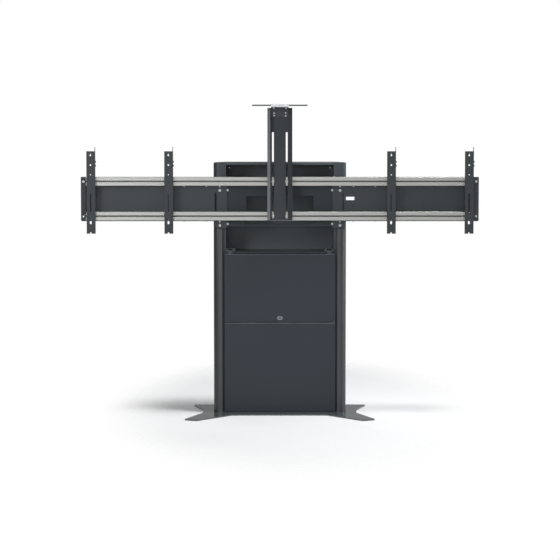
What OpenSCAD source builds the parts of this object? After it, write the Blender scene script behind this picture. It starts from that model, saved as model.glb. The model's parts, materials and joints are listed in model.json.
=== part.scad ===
// Motorised floor lift for two displays. The mounting head is shown at its lowest position.
// Millimetres. X runs across the stand, the front faces -Y, +Z is up.
// The origin is on the floor, at the centre of the floor plate's footprint.

/* [Floor plate] */
// Thickness of the steel floor plate
plate_t = 6; // [4:1:12]
// Depth of the floor plate from front corners to back edge
plate_depth = 610; // [520:5:700]
// Width across the front corners
plate_front_w = 846; // [780:2:900]
// Width across the outer tips of the front prongs
plate_tip_w = 970; // [920:2:1060]
// Width between the side notches
plate_notch_w = 798; // [740:2:840]
// Width across the tips of the back prongs
plate_back_w = 910; // [860:2:960]
// Width of the straight middle of the front edge
plate_mid_w = 488; // [420:2:600]
// How far the middle of the front edge lies behind the front corners
plate_mid_inset = 212; // [150:2:250]
// How far the front tips lie behind the front corners
plate_tip_inset = 36; // [20:1:60]
// Length of the straight bottom of each side notch
notch_len = 116; // [60:2:160]
// Distance of the notch from the front corners
notch_inset = 278; // [240:2:320]
// Length of the blunt end of each back prong
back_tip_len = 18; // [8:1:30]

/* [Columns] */
// Distance between the inner faces of the two columns
inner_span = 556; // [480:2:640]
// Width of a column profile
column_w = 65; // [62:1:80]
// Depth of a column profile from front to back
column_depth = 210; // [200:2:240]
// Wall thickness of the column profile
column_wall = 4; // [3:0.5:5]
// Radius of the outer corners of the profile
column_r = 30; // [20:1:34]
// Length of the fixed lower column
column_h = 954; // [900:2:1000]
// Position of the columns' front face, behind the plate's centre
column_front_y = 8; // [0:1:20]
// Thickness of the plastic flange on top of a fixed column
collar_flange = 3; // [2:0.5:5]
// Depth of the plastic plug under that flange
collar_plug = 40; // [25:1:60]
// Width of the step in the column's inner front edge, where the doors sit
rebate_w = 20; // [14:1:24]

/* [Lifting drive] */
// Travel of the head
stroke = 500; // [400:10:520]
// Width of the inner lifting tube
tube_w = 44; // [40:1:46]
// Depth of the inner lifting tube
tube_depth = 130; // [110:2:140]
// Wall thickness of the lifting tube
tube_wall = 3; // [2:0.5:4]
// Corner radius of the lifting tube
tube_r = 6; // [4:0.5:8]
// Running clearance of the tube in its plastic guides
slide_gap = 0.3; // [0.2:0.05:0.5]
// Depth of the guide blocks around the tube
guide_depth = 148; // [146:1:150]
// Height of the guide shoe on the tube's lower end
shoe_h = 50; // [30:2:70]
// Diameter of the lifting spindle
spindle_d = 20; // [16:1:24]
// Radial clearance of the spindle in nut and bearing
spindle_gap = 0.05; // [0.02:0.01:0.1]
// Thickness of the steel block in the foot of each column
foot_t = 12; // [8:1:20]
// Height of the worm gear housing
gearbox_h = 62; // [50:2:80]
// Height of the bearing nose on the gear housing
bearing_h = 24; // [16:1:34]
// Diameter of the motor
motor_d = 46; // [36:1:50]
// Length of the motor
motor_len = 50; // [44:1:52]

/* [Head] */
// Gap between the fixed columns and the head at its lowest position
head_gap = 1; // [1:0.5:5]
// Height of the head's column sections
head_h = 334; // [320:2:400]
// Thickness of the end caps on top of the head
cap_t = 4; // [3:0.5:8]
// Drop of a cap's sloping top from inner to outer edge
cap_slope = 2.5; // [0:0.5:2.5]
// Thickness of the bracket plates that carry the rails
bracket_t = 5; // [4:0.5:8]
// Width of the bracket plates between the rails
bracket_w = 51; // [46:1:55]
// Width of the bracket plates behind and below the rails
bracket_wide = 64.5; // [60:0.5:70]
// Distance from the upper rail down to the step where the bracket plates become narrow
step_drop = 38; // [30:1:60]
// Thickness of the carriage plate between the brackets
carriage_t = 3; // [2:0.5:5]
// Width of the window in the carriage plate
window_w = 346; // [260:2:400]
// Height of the window in the carriage plate
window_h = 144; // [100:2:146]
// Height of the carriage plate below the window
window_sill = 12; // [8:1:30]
// Height of the carriage plate's lower edge above the bottom of the head
carriage_rise = 9; // [4:1:14]
// Height of the front lip of the top cover
cover_lip = 12; // [8:1:24]
// Thickness of the folded sheet of the covers and trays
sheet_t = 1.5; // [1:0.25:2]

/* [Rails] */
// Overall length of each rail
rail_len = 2043; // [1990:1:2200]
// Height of the rail profile
rail_h = 45; // [40:1:50]
// Depth of the rail profile
rail_d = 45; // [42:1:50]
// Distance between the centre lines of the two rails
rail_pitch = 179; // [160:1:200]
// Height of the lower rail's centre line above the bottom of the head
rail_rise = 63.5; // [58:0.5:72]
// Width of the slot mouth in the rails
slot_w = 8.2; // [8:0.1:12]
// Height of the tee chamber behind the slot mouth
tee_w = 20; // [16:1:24]
// Thickness of the lips either side of the slot mouth
slot_lip = 4.5; // [3:0.5:6]
// Depth of the tee chamber
tee_depth = 9; // [8:0.5:11]
// Width of the cable slot near the right tray's inner end
notch_w = 44; // [30:1:60]
// Height of that cable slot
notch_h = 17; // [12:1:40]
// Distance of that cable slot from the tray's inner end
notch_leg = 4; // [3:0.5:20]
// Height of the heads of the screws that hold the trays under the rails
tray_screw_head = 4.5; // [2.5:0.5:5]
// Height of the angle plates on the rail ends, beyond each rail
end_over = 2; // [0:0.5:3]
// Width of the front leaf of the end plates
end_leaf = 26; // [24:1:31]
// Thickness of the end plates
end_t = 2.5; // [2:0.5:4]

/* [Display strips] */
// Distance from a rail's end to the centre of the outer display strip
end_margin = 49; // [47:0.5:90]
// Distance between the two strips of one display
strip_pitch = 400; // [300:10:420]
// Height of a strip
strip_h = 424; // [410:2:440]
// Width of a strip
strip_w = 42; // [38:1:50]
// Height of a strip's lower end, above the bottom of the head
strip_rise = -26; // [-34:1:-16]
// Distance of the strip's front from the rails
strip_stand = 20; // [16:1:30]
// Thickness of the strip's sheet
strip_t = 2; // [1.5:0.5:3]
// Thickness of the side plate on each strip
side_plate_t = 3; // [3:0.5:5]
// Height of the side plate above its strip
side_plate_over = 21; // [10:1:30]
// Radius of the display bolt holes
bolt_hole_r = 4.25; // [3:0.25:5]
// Distance between the holes at the top of a strip
hole_pitch = 50; // [40:1:50]
// Distance from the strip's top edge to the first hole
first_hole = 21; // [14:1:26]
// Distance from the strip's top edge to its long slot
long_slot_drop = 219; // [205:1:225]
// Distance from the strip's top edge to the thin slot below the long one
thin_slot_drop = 329; // [325:1:345]
// Depth of the notch in the strip's bottom edge
notch_d = 7; // [5:0.5:10]

/* [Camera post] */
// Length of the camera post
post_h = 577; // [540:1:620]
// Overall width of the post with its cable duct
post_w = 128; // [118:1:140]
// Depth of the post's folded sides
post_d = 28; // [20:1:36]
// Thickness of the post's sheet
post_t = 2.5; // [2:0.5:3]
// Width of the cable duct on the post's left side
duct_w = 14.6; // [10:0.2:16]
// Distance between the two long slots
post_slot_pitch = 71; // [66:1:76]
// Width of the long slots
post_slot_w = 9.5; // [9.5:0.5:12]
// Length of the long slots
post_slot_len = 445; // [400:5:460]
// Height of the slots' lower ends above the post's lower end
post_slot_rise = 8; // [6:1:14]
// Height of the post's lower end above the bottom of the head
post_rise = 43; // [40:1:44]
// Width of the camera shelf
shelf_w = 283; // [200:1:360]
// Depth of the camera shelf
shelf_d = 160; // [120:2:200]
// Height of the shelf's folded edge
shelf_lip = 7; // [5:0.5:12]
// Height of the aluminium block under the shelf
shelf_block_h = 9.5; // [6:0.5:14]
// Width of the aluminium block under the shelf
shelf_block_w = 90; // [80:1:110]
// Radius of the camera screw hole
camera_hole_r = 3.4; // [3:0.1:5]

/* [Cabinet] */
// Height of the open niche above the flap
niche_h = 119; // [90:1:150]
// Height of the top edge of the fixed lower panel
panel_top = 472; // [420:1:520]
// Gap between the lower panel and the flap
split_gap = 2; // [2:0.5:8]
// Depth of the folded edges of flap and lower panel
door_d = 18; // [16:0.5:22]
// Gap beside the doors, in the step of the columns
door_gap = 10; // [4:0.5:12]
// Gap behind the closed flap
close_gap = 0.3; // [0.2:0.05:0.5]
// Radius of the flap's hinge pins
pin_r = 4; // [3:0.25:5]
// Running clearance of the flap's hinge arms on their pins
pin_gap = 0.05; // [0.02:0.01:0.1]
// Height of the hinge axis above the flap
hinge_rise = 15; // [14:0.5:17]
// Depth of the hinge axis behind the flap's front
hinge_inset = 10; // [9:0.5:11]
// Height of the lock above the flap's lower edge
lock_rise = 22; // [20:1:30]
// Radius of the lock's turning barrel
barrel_r = 6; // [5:0.25:7]
// Running clearance of the barrel
barrel_gap = 0.05; // [0.02:0.01:0.1]
// Length of the lock's cam
cam_len = 38; // [34:1:40]
// Depth of the hinge blocks in the niche
hinge_block_d = 34; // [30:1:40]
// Depth of the beam that carries the lock's keeper
lock_beam_d = 42; // [40:1:60]
// Height and depth of the base beam between the column feet
base_beam_size = 40; // [30:1:60]
// Height of the mains inlet above the back panel's lower edge
inlet_rise = 62; // [50:1:90]
// Width of the control box
control_w = 220; // [160:5:260]
// Height of the control box
control_h = 95; // [70:5:120]
// Depth of the control box
control_d = 47; // [30:1:60]
// Height of the control box above the back panel's lower edge
control_rise = 70; // [60:5:160]
// Distance between the three columns of vents in the back panel
vent_pitch = 150; // [120:5:180]

/* [Hidden] */
$fn = 48;
DARK = "#3e4448";
DARKER = "#33383b";
SILVER = "#b9bab7";
STEEL = "#808587";
BLACK = "#222426";
BRIGHT = "#d2d3d1";

// Columns
col_x0 = inner_span / 2;
col_x1 = col_x0 + column_w;
col_xc = (col_x0 + col_x1) / 2;
col_y0 = column_front_y;
col_y1 = col_y0 + column_depth;
col_yc = (col_y0 + col_y1) / 2;
col_z1 = plate_t + column_h;
cav_x0 = col_x0 + column_wall;
cav_x1 = col_x1 - column_wall;
cav_y0 = col_y0 + column_wall;
cav_y1 = col_y1 - column_wall;
rebate_d = door_d + close_gap;
inner_r = column_r - column_wall;

// Lifting drive
foot_z1 = plate_t + foot_t;
gear_z1 = foot_z1 + gearbox_h;
bearing_z1 = gear_z1 + bearing_h;
shoe_gap = 10;
tube_z0 = bearing_z1 + shoe_gap;
spindle_y = col_yc - 34;
motor_y = col_yc + 30;
thrust_gap = 0.3;
bearing_floor = 6;
spindle_z0 = gear_z1 + bearing_floor + thrust_gap;
spindle_z1 = tube_z0 + stroke + shoe_h + 30;
collar_z1 = col_z1 + collar_flange;

// Head
head_z0 = collar_z1 + head_gap;
head_z1 = head_z0 + head_h;
tube_z1 = head_z1 - 2;
clamp_h = 40;
lower_z = head_z0 + rail_rise;
upper_z = lower_z + rail_pitch;
rail_y1 = col_y0 - bracket_t;
rail_y0 = rail_y1 - rail_d;
bracket_x0 = col_x0 - 6;
carriage_z1 = upper_z + rail_h / 2 - 6;
carriage_z0 = head_z0 + carriage_rise;
sill_z = carriage_z0 + window_sill;
tray_x0 = bracket_x0 + bracket_wide + 0.5;
back_y = col_y1 - 12;
rail_x = rail_len / 2;

// Display strips
strip_z0 = head_z0 + strip_rise;
strip_z1 = strip_z0 + strip_h;
strip_y0 = rail_y0 - strip_stand;
strip_back = rail_y0 - end_t - 0.5;
outer_x = rail_x - end_margin;
strip_xs = [-outer_x, strip_pitch - outer_x, outer_x - strip_pitch, outer_x];
clamp_w = 26;
tee_len = 24;
end_tee_len = 16;
clamp_gap = 0.3;

// Camera post
post_z0 = head_z0 + post_rise;
post_z1 = post_z0 + post_h;
post_y1 = rail_y0 - clamp_gap;
post_y0 = post_y1 - post_d;
post_x0 = -post_w / 2 + duct_w;
post_x1 = post_w / 2;
clamp_bolt_r = 4;
shelf_z0 = post_z1 + shelf_block_h;
shelf_z1 = shelf_z0 + shelf_lip;
shelf_y0 = post_y0 - 50;
shelf_screw_y = shelf_y0 + shelf_d * 0.4;

// Cabinet
niche_z = col_z1 - niche_h;
flap_z1 = niche_z - 11;
flap_z0 = panel_top + split_gap;
door_x = col_x0 + rebate_w - door_gap;
door_y1 = col_y0 + door_d;
hinge_y = col_y0 + hinge_inset;
hinge_z = flap_z1 + hinge_rise;
arm_r = 8;
arm_x0 = col_x0 - 34;
arm_x1 = col_x0 - 8.3;
ear_t = 12;
ear_gap = 0.3;
hinge_x0 = arm_x0 - ear_gap - ear_t;
lock_z = flap_z0 + lock_rise;
stop_y0 = door_y1 + 1;
stop_t = 2;
beam_z1 = flap_z0 + 8;
beam_z0 = lock_z - cam_len - 16;
beam_y1 = stop_y0 + lock_beam_d;
cam_y0 = stop_y0 + stop_t + 1.5;
cam_t = 3;
body_y1 = cam_y0 - 1;

// Helpers

module box(x0, x1, y0, y1, z0, z1) {
    translate([x0, y0, z0]) cube([x1 - x0, y1 - y0, z1 - z0]);
}

module rod_y(r, x, z, y0, y1) {
    translate([x, y0, z]) rotate([-90, 0, 0]) cylinder(r = r, h = y1 - y0);
}

module rod_x(r, y, z, x0, x1) {
    translate([x0, y, z]) rotate([0, 90, 0]) cylinder(r = r, h = x1 - x0);
}

module rod_z(r, x, y, z0, z1) {
    translate([x, y, z0]) cylinder(r = r, h = z1 - z0);
}

// A piece drawn for the right side, put on the side that s names: 1 is right and -1 is left
module on_side(s) {
    mirror([s < 0 ? 1 : 0, 0, 0]) children();
}

// An upright obround hole through a sheet that faces the front
module slot_z(x, z0, z1, w, y0, y1) {
    box(x - w / 2, x + w / 2, y0, y1, z0 + w / 2, z1 - w / 2);
    for (z = [z0 + w / 2, z1 - w / 2]) rod_y(w / 2, x, z, y0, y1);
}

// A level obround hole through a sheet that faces the front
module slot_x(x0, x1, z, w, y0, y1) {
    box(x0 + w / 2, x1 - w / 2, y0, y1, z - w / 2, z + w / 2);
    for (x = [x0 + w / 2, x1 - w / 2]) rod_y(w / 2, x, z, y0, y1);
}

// Rectangle with round corners, centred
module round_rect(w, d, r) {
    square([w - 2 * r, d], center = true);
    square([w, d - 2 * r], center = true);
    for (x = [-1, 1], y = [-1, 1]) translate([x * (w / 2 - r), y * (d / 2 - r)]) circle(r = r);
}

// Plan of a column: flat towards the middle of the stand, with two round outer corners
module column_plan(x0, x1, y0, y1, r) {
    translate([x0, y0]) square([x1 - x0 - r, y1 - y0]);
    translate([x0, y0 + r]) square([x1 - x0, y1 - y0 - 2 * r]);
    for (y = [y0 + r, y1 - r]) translate([x1 - r, y]) circle(r = r);
}

// Screw with a low round head that faces the front
module front_screw(x, z, y, head_r, head_h, shank_r, shank_len) {
    rod_y(head_r, x, z, y - head_h, y);
    rod_y(shank_r, x, z, y - head_h / 2, y + shank_len);
}

// Floor plate and columns

// Three points that blunt the corner b of an outline, between its neighbours a and c
function blunt(a, b, c, d) = let(u = (a - b) / norm(a - b), v = (c - b) / norm(c - b))
    [b + u * d, b + (u + v) * d * 0.3, b + v * d];

half_d = plate_depth / 2;
front_corner = [plate_front_w / 2, -half_d];
front_tip = [plate_tip_w / 2, plate_tip_inset - half_d];
mid_corner = [plate_mid_w / 2, plate_mid_inset - half_d];
notch_front = [plate_notch_w / 2, notch_inset - half_d];
notch_back = [plate_notch_w / 2, notch_inset + notch_len - half_d];
back_tip = [plate_back_w / 2, half_d - back_tip_len];
back_corner = [plate_back_w / 2 - 8, half_d];
plate_right = concat([mid_corner], blunt(mid_corner, front_corner, front_tip, plate_t),
    blunt(front_corner, front_tip, notch_front, plate_t), [notch_front, notch_back],
    blunt(notch_back, back_tip, back_corner, plate_t), [back_corner]);
plate_outline = concat(plate_right,
    [for (i = [len(plate_right) - 1 : -1 : 0]) [-plate_right[i][0], plate_right[i][1]]]);

module foot_screw_places() {
    dx = column_w / 4;
    dy = column_depth * 0.28;
    for (x = [-dx, dx], y = [-dy, dy]) translate([col_xc + x, col_yc + y, 0]) children();
}

screw_r = 4;
screw_gap = 0.1;

module foot_screw(extra) {
    cylinder(r1 = screw_r * 2 + extra, r2 = screw_r + extra, h = screw_r);
    cylinder(r = screw_r + extra, h = plate_t + foot_t * 0.8 + extra);
}

module floor_plate() {
    color(STEEL) difference() {
        linear_extrude(plate_t) polygon(plate_outline);
        for (s = [-1, 1]) on_side(s) foot_screw_places() foot_screw(screw_gap);
    }
}

module column_foot_blocks() {
    gap = 0.2;
    color(STEEL) for (s = [-1, 1]) on_side(s) difference() {
        box(cav_x0 + gap, cav_x1 - gap, col_yc - guide_depth / 2, col_yc + guide_depth / 2,
            plate_t, foot_z1);
        foot_screw_places() foot_screw(screw_gap);
    }
}

module foot_screws() {
    color(SILVER) for (s = [-1, 1]) on_side(s) foot_screw_places() foot_screw(0);
}

module column_shell() {
    difference() {
        column_plan(col_x0, col_x1, col_y0, col_y1, column_r);
        translate([col_x0, col_y0]) square([rebate_w, rebate_d]);
        difference() {
            column_plan(cav_x0, cav_x1, cav_y0, cav_y1, inner_r);
            translate([cav_x0, cav_y0]) square([rebate_w, rebate_d]);
        }
    }
}

module fixed_column(s) {
    color(DARK) on_side(s) translate([0, 0, plate_t]) linear_extrude(column_h) column_shell();
}

module left_column() { fixed_column(-1); }
module right_column() { fixed_column(1); }

module column_collar(s) {
    gap = 0.1;
    color(DARK) on_side(s) difference() {
        union() {
            translate([0, 0, col_z1]) linear_extrude(collar_flange) difference() {
                column_plan(col_x0 + 0.5, col_x1 - 0.5, col_y0 + 0.5, col_y1 - 0.5, column_r);
                translate([col_x0, col_y0]) square([rebate_w, rebate_d]);
            }
            box(cav_x0 + gap, cav_x1 - gap, col_yc - guide_depth / 2, col_yc + guide_depth / 2,
                col_z1 - collar_plug, col_z1 + collar_flange / 2);
        }
        translate([col_xc, col_yc, col_z1 - collar_plug - 1])
            linear_extrude(collar_plug + collar_flange + 2)
                round_rect(tube_w + 2 * slide_gap, tube_depth + 2 * slide_gap, tube_r);
    }
}

module column_collars() {
    for (s = [-1, 1]) column_collar(s);
}

// Drive in the foot of each column: worm gear housing, bearing nose and motor

module drive(s) {
    half_w = tube_w / 2;
    half_d = spindle_d * 1.4;
    color(BLACK) on_side(s) difference() {
        union() {
            box(col_xc - half_w, col_xc + half_w, spindle_y - half_d, motor_y + motor_d / 2,
                foot_z1, gear_z1 - 20);
            box(col_xc - half_w, col_xc + half_w, spindle_y - half_d, spindle_y + half_d,
                foot_z1, gear_z1);
            rod_z(spindle_d / 2 + 8, col_xc, spindle_y, gear_z1 - 1, bearing_z1);
            rod_z(motor_d / 2 - 2, col_xc, motor_y, gear_z1 - 21, gear_z1 - 20 + motor_len - 4);
            rod_z(motor_d / 2 - 8, col_xc, motor_y, gear_z1 - 21, gear_z1 - 20 + motor_len);
        }
        rod_z(spindle_d / 2 + spindle_gap, col_xc, spindle_y, gear_z1 + bearing_floor,
            bearing_z1 + 1);
    }
}

module left_drive() { drive(-1); }
module right_drive() { drive(1); }

module spindle(s) {
    color(BRIGHT) on_side(s) {
        rod_z(spindle_d / 2, col_xc, spindle_y, spindle_z0, spindle_z1 - 2);
        translate([col_xc, spindle_y, spindle_z1 - 2])
            cylinder(r1 = spindle_d / 2, r2 = spindle_d / 2 - 2, h = 2);
    }
}

module left_spindle() { spindle(-1); }
module right_spindle() { spindle(1); }

// Cabinet between the fixed columns

module base_beam() {
    half = base_beam_size / 2;
    color(DARKER) difference() {
        box(-col_x0, col_x0, col_yc - half, col_yc + half, plate_t, plate_t + base_beam_size);
        box(-col_x0 - 1, col_x0 + 1, col_yc - half + 3, col_yc + half - 3, plate_t + 3,
            plate_t + base_beam_size - 3);
    }
}

panel_z0 = plate_t + 4;
panel_z1 = collar_z1;
inlet_x = -190;
inlet_z = panel_z0 + inlet_rise;
inlet_w = 28;
inlet_h = 48;
cable_hole_r = 30;

module back_panel() {
    top = panel_z1;
    color(DARK) difference() {
        box(-col_x0, col_x0, back_y, col_y1 - 2, panel_z0, top);
        box(-col_x0 + sheet_t, col_x0 - sheet_t, back_y - 1, col_y1 - 2 - sheet_t,
            panel_z0 + sheet_t, top - sheet_t);
        for (z = [0 : 14 : 84], x = [-vent_pitch, 0, vent_pitch])
            slot_x(x - vent_pitch / 2 + 20, x + vent_pitch / 2 - 20, niche_z - 130 + z, 5,
                back_y, col_y1);
        rod_y(cable_hole_r, 0, beam_z1 + 60, back_y, col_y1);
        box(inlet_x - inlet_w / 2, inlet_x + inlet_w / 2, back_y, col_y1,
            inlet_z - inlet_h / 2, inlet_z + inlet_h / 2);
    }
}

module mains_inlet() {
    rim = 4;
    color(BLACK) difference() {
        union() {
            box(inlet_x - inlet_w / 2 - rim, inlet_x + inlet_w / 2 + rim, col_y1 - 2, col_y1,
                inlet_z - inlet_h / 2 - rim, inlet_z + inlet_h / 2 + rim);
            box(inlet_x - inlet_w / 2 + 0.2, inlet_x + inlet_w / 2 - 0.2, back_y - 14,
                col_y1 - 1, inlet_z - inlet_h / 2 + 0.2, inlet_z + inlet_h / 2 - 0.2);
        }
        box(inlet_x - 12, inlet_x + 12, col_y1 - 18, col_y1 + 1, inlet_z - 8, inlet_z + 8);
    }
    color(BRIGHT) for (x = [-7, 0, 7])
        box(inlet_x + x - 1, inlet_x + x + 1, col_y1 - 19, col_y1 - 4, inlet_z - 2, inlet_z + 2);
}

module control_box() {
    y1 = col_y1 - 2 - sheet_t;
    foot_h = 3;
    z0 = panel_z0 + control_rise;
    xc = (cable_hole_r + inlet_w) * 0.7;
    color(BLACK) {
        box(xc - control_w / 2, xc + control_w / 2, y1 - foot_h - control_d, y1 - foot_h,
            z0, z0 + control_h);
        for (x = [-1, 1]) translate([xc + x * (control_w / 2 - 10), 0, 0])
            box(-6, 6, y1 - foot_h - 2, y1, z0 + 10, z0 + control_h - 10);
    }
}

shelf_notch = 3;

module niche_shelf() {
    color(DARK) difference() {
        box(-col_x0, col_x0, hinge_y - 8, back_y, niche_z - 2, niche_z);
        for (s = [-1, 1]) on_side(s)
            box(arm_x0 - shelf_notch, arm_x1 + shelf_notch, hinge_y - 20, hinge_y + 14,
                niche_z - 10, niche_z + 1);
    }
    color(DARK) difference() {
        box(-col_x0, col_x0, hinge_y - 8, hinge_y - 6, niche_z - 7, niche_z - 1);
        for (s = [-1, 1]) on_side(s)
            box(arm_x0 - shelf_notch, arm_x1 + shelf_notch, hinge_y - 20, hinge_y + 14,
                niche_z - 10, niche_z + 1);
    }
    color(DARK) for (s = [-1, 1]) on_side(s)
        box(col_x0 - 2, col_x0, hinge_y + 20, back_y, niche_z - 22, niche_z - 1);
}

module hinge_blocks() {
    y1 = hinge_y + hinge_block_d;
    top = hinge_z + pin_r + 9;
    color(DARKER) for (s = [-1, 1]) on_side(s) difference() {
        union() {
            box(hinge_x0, col_x0, hinge_y + 14, y1, niche_z, niche_z + 4);
            box(hinge_x0, col_x0, y1 - 12, y1, niche_z, top);
            for (x = [[hinge_x0, arm_x0 - ear_gap], [arm_x1 + ear_gap, col_x0]]) {
                box(x[0], x[1], hinge_y, y1, niche_z, top);
                box(x[0], x[1], hinge_y - 8, hinge_y + 1, hinge_z, top);
                rod_x(8, hinge_y, hinge_z, x[0], x[1]);
            }
        }
        rod_x(pin_r + 0.02, hinge_y, hinge_z, hinge_x0 - 1, col_x0 + 1);
        box(hinge_x0 - 1, col_x0 + 1, hinge_y - 20, hinge_y + 15, niche_z - 20, niche_z);
    }
}

module hinge_pins() {
    color(BRIGHT) for (s = [-1, 1]) on_side(s)
        rod_x(pin_r, hinge_y, hinge_z, hinge_x0, col_x0 - 0.2);
}

module flap_hinge_arms() {
    color(DARKER) for (s = [-1, 1]) on_side(s) difference() {
        union() {
            rod_x(arm_r, hinge_y, hinge_z, arm_x0, arm_x1);
            box(arm_x0, arm_x1, hinge_y - arm_r, hinge_y + arm_r - 3, flap_z1, hinge_z);
        }
        rod_x(pin_r + pin_gap, hinge_y, hinge_z, arm_x0 - 1, arm_x1 + 1);
    }
}

// Shallow folded tray, open to the back
module front_pan(x, y0, y1, z0, z1) {
    difference() {
        box(-x, x, y0, y1, z0, z1);
        box(-x + sheet_t, x - sheet_t, y0 + sheet_t, y1 + 1, z0 + sheet_t, z1 - sheet_t);
    }
}

module lower_panel() {
    color(DARK) front_pan(door_x, col_y0, door_y1, plate_t, panel_top);
    color(DARK) for (s = [-1, 1]) on_side(s)
        box(door_x - 40, door_x - sheet_t + 0.5, door_y1 - 4, door_y1 + close_gap,
            panel_top - 80, panel_top - 40);
}

escutcheon_t = 2.5;
body_r = 9;

module flap_door() {
    color(DARK) difference() {
        front_pan(door_x, col_y0, door_y1, flap_z0, flap_z1);
        rod_y(body_r + 0.1, 0, lock_z, col_y0 - 1, col_y0 + sheet_t + 1);
    }
}

module lock_body() {
    color(BRIGHT) difference() {
        union() {
            for (x = [-5, 5]) rod_y(10, x, lock_z, col_y0 - escutcheon_t, col_y0);
            box(-5, 5, col_y0 - escutcheon_t, col_y0, lock_z - 10, lock_z + 10);
            rod_y(body_r, 0, lock_z, col_y0 - 1, body_y1);
            rod_y(body_r + 3, 0, lock_z, col_y0 + sheet_t, col_y0 + sheet_t + 5);
        }
        rod_y(barrel_r + barrel_gap, 0, lock_z, col_y0 - 10, body_y1 + 1);
    }
}

module lock_barrel() {
    key_depth = 8;
    color(BLACK) difference() {
        rod_y(barrel_r, 0, lock_z, col_y0 - escutcheon_t - 0.5, cam_y0);
        box(-1, 1, col_y0 - 10, col_y0 - escutcheon_t + key_depth, lock_z - 4, lock_z + 4);
    }
}

module lock_cam() {
    color(SILVER) {
        rod_y(barrel_r + 3, 0, lock_z, cam_y0, cam_y0 + cam_t);
        box(0, cam_len, cam_y0, cam_y0 + cam_t, lock_z - 6, lock_z + 6);
    }
}

module lock_beam() {
    color(DARKER) {
        box(-col_x0, col_x0, stop_y0, stop_y0 + stop_t, beam_z0, beam_z1);
        box(-col_x0, col_x0, stop_y0, beam_y1, beam_z0, beam_z0 + stop_t);
        box(-col_x0, col_x0, beam_y1 - stop_t, beam_y1, beam_z0, beam_z1);
    }
}

module equipment_shelf() {
    color(DARKER) {
        box(-col_x0, col_x0, beam_y1 - 8, back_y - 4, beam_z1, beam_z1 + 2);
        for (s = [-1, 1]) on_side(s)
            box(col_x0 - 2, col_x0, beam_y1 + 4, back_y - 4, beam_z1 - 18, beam_z1 + 1);
    }
}

// Head: everything that the lifting tubes carry

module lift_tube(s) {
    color(SILVER) on_side(s) translate([col_xc, col_yc, tube_z0])
        linear_extrude(tube_z1 - tube_z0) difference() {
            round_rect(tube_w, tube_depth, tube_r);
            round_rect(tube_w - 2 * tube_wall, tube_depth - 2 * tube_wall, tube_r - tube_wall);
        }
}

module left_lift_tube() { lift_tube(-1); }
module right_lift_tube() { lift_tube(1); }

// Rectangular ring around the lifting tube
module tube_ring(z0, z1, side_gap) {
    difference() {
        box(cav_x0 + side_gap, cav_x1 - side_gap, col_yc - guide_depth / 2,
            col_yc + guide_depth / 2, z0, z1);
        translate([col_xc, col_yc, z0 - 1]) linear_extrude(z1 - z0 + 2)
            round_rect(tube_w, tube_depth, tube_r);
    }
}

module tube_guide_shoes() {
    rib_x0 = cav_x0 + rebate_w + slide_gap;
    rib_x1 = cav_x1 - inner_r;
    color(BLACK) for (s = [-1, 1]) on_side(s) {
        tube_ring(tube_z0, tube_z0 + shoe_h, slide_gap);
        for (y = [[cav_y0 + slide_gap, col_yc - guide_depth / 2 + 1],
                [col_yc + guide_depth / 2 - 1, cav_y1 - slide_gap]])
            box(rib_x0, rib_x1, y[0], y[1], tube_z0, tube_z0 + shoe_h);
    }
}

module spindle_nuts() {
    half_w = tube_w / 2 - tube_wall;
    nut_d = spindle_d * 2.4;
    color("#b9975b") for (s = [-1, 1]) on_side(s) difference() {
        box(col_xc - half_w, col_xc + half_w, spindle_y - nut_d / 2, spindle_y + nut_d / 2,
            tube_z0, tube_z0 + shoe_h);
        rod_z(spindle_d / 2 + spindle_gap, col_xc, spindle_y, tube_z0 - 1, tube_z0 + shoe_h + 1);
    }
}

module head_clamp_blocks() {
    color(STEEL) for (s = [-1, 1]) on_side(s) {
        tube_ring(head_z0 + 4, head_z0 + 4 + clamp_h, 0);
        tube_ring(head_z1 - 10 - clamp_h, head_z1 - 10, 0);
    }
}

big_bolt_z = [lower_z - rail_h / 2 - 27, upper_z - rail_h / 2 - 25];
small_bolt_z = [lower_z - rail_h / 2 - 8, upper_z - rail_h / 2 - 5.5];
bolt_x = col_xc;
rail_bolt_x = col_xc - 7;
rim_bolt_x = bracket_x0 - 2;
rim_bolt_z = [lower_z - rail_h / 2 - 20, upper_z - rail_h / 2 - 24];
big_r = 4;
small_r = 2.5;
bolt_gap = 0.1;

module bracket_holes(y0, y1) {
    for (z = big_bolt_z) rod_y(big_r + bolt_gap, bolt_x, z, y0, y1);
    for (z = small_bolt_z) rod_y(small_r + bolt_gap, bolt_x, z, y0, y1);
    for (z = [lower_z, upper_z]) rod_y(big_r + bolt_gap, rail_bolt_x, z, y0, y1);
}

module head_column(s) {
    color(DARK) on_side(s) difference() {
        translate([0, 0, head_z0]) linear_extrude(head_h) difference() {
            column_plan(col_x0, col_x1, col_y0, col_y1, column_r);
            column_plan(cav_x0, cav_x1, cav_y0, cav_y1, inner_r);
        }
        bracket_holes(col_y0 - 1, cav_y0 + 1);
    }
}

module left_head_column() { head_column(-1); }
module right_head_column() { head_column(1); }

module head_caps() {
    color(DARKER) for (s = [-1, 1]) on_side(s) difference() {
        translate([0, 0, head_z1]) linear_extrude(cap_t)
            column_plan(col_x0, col_x1, col_y0, col_y1, column_r);
        translate([col_x0, col_y0 - 1, head_z1 + cap_t]) rotate([0, atan(cap_slope / column_w), 0])
            cube([column_w + 10, column_depth + 2, 10]);
    }
}

module head_top_cover() {
    top = head_z1 + cap_t;
    color(DARK) difference() {
        box(-col_x0, col_x0, col_y0, col_y1 - 2, top - cover_lip, top);
        box(-col_x0 - 1, col_x0 + 1, col_y0 + sheet_t, col_y1 - 2 - sheet_t,
            top - cover_lip - 1, top - sheet_t);
    }
}

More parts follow.
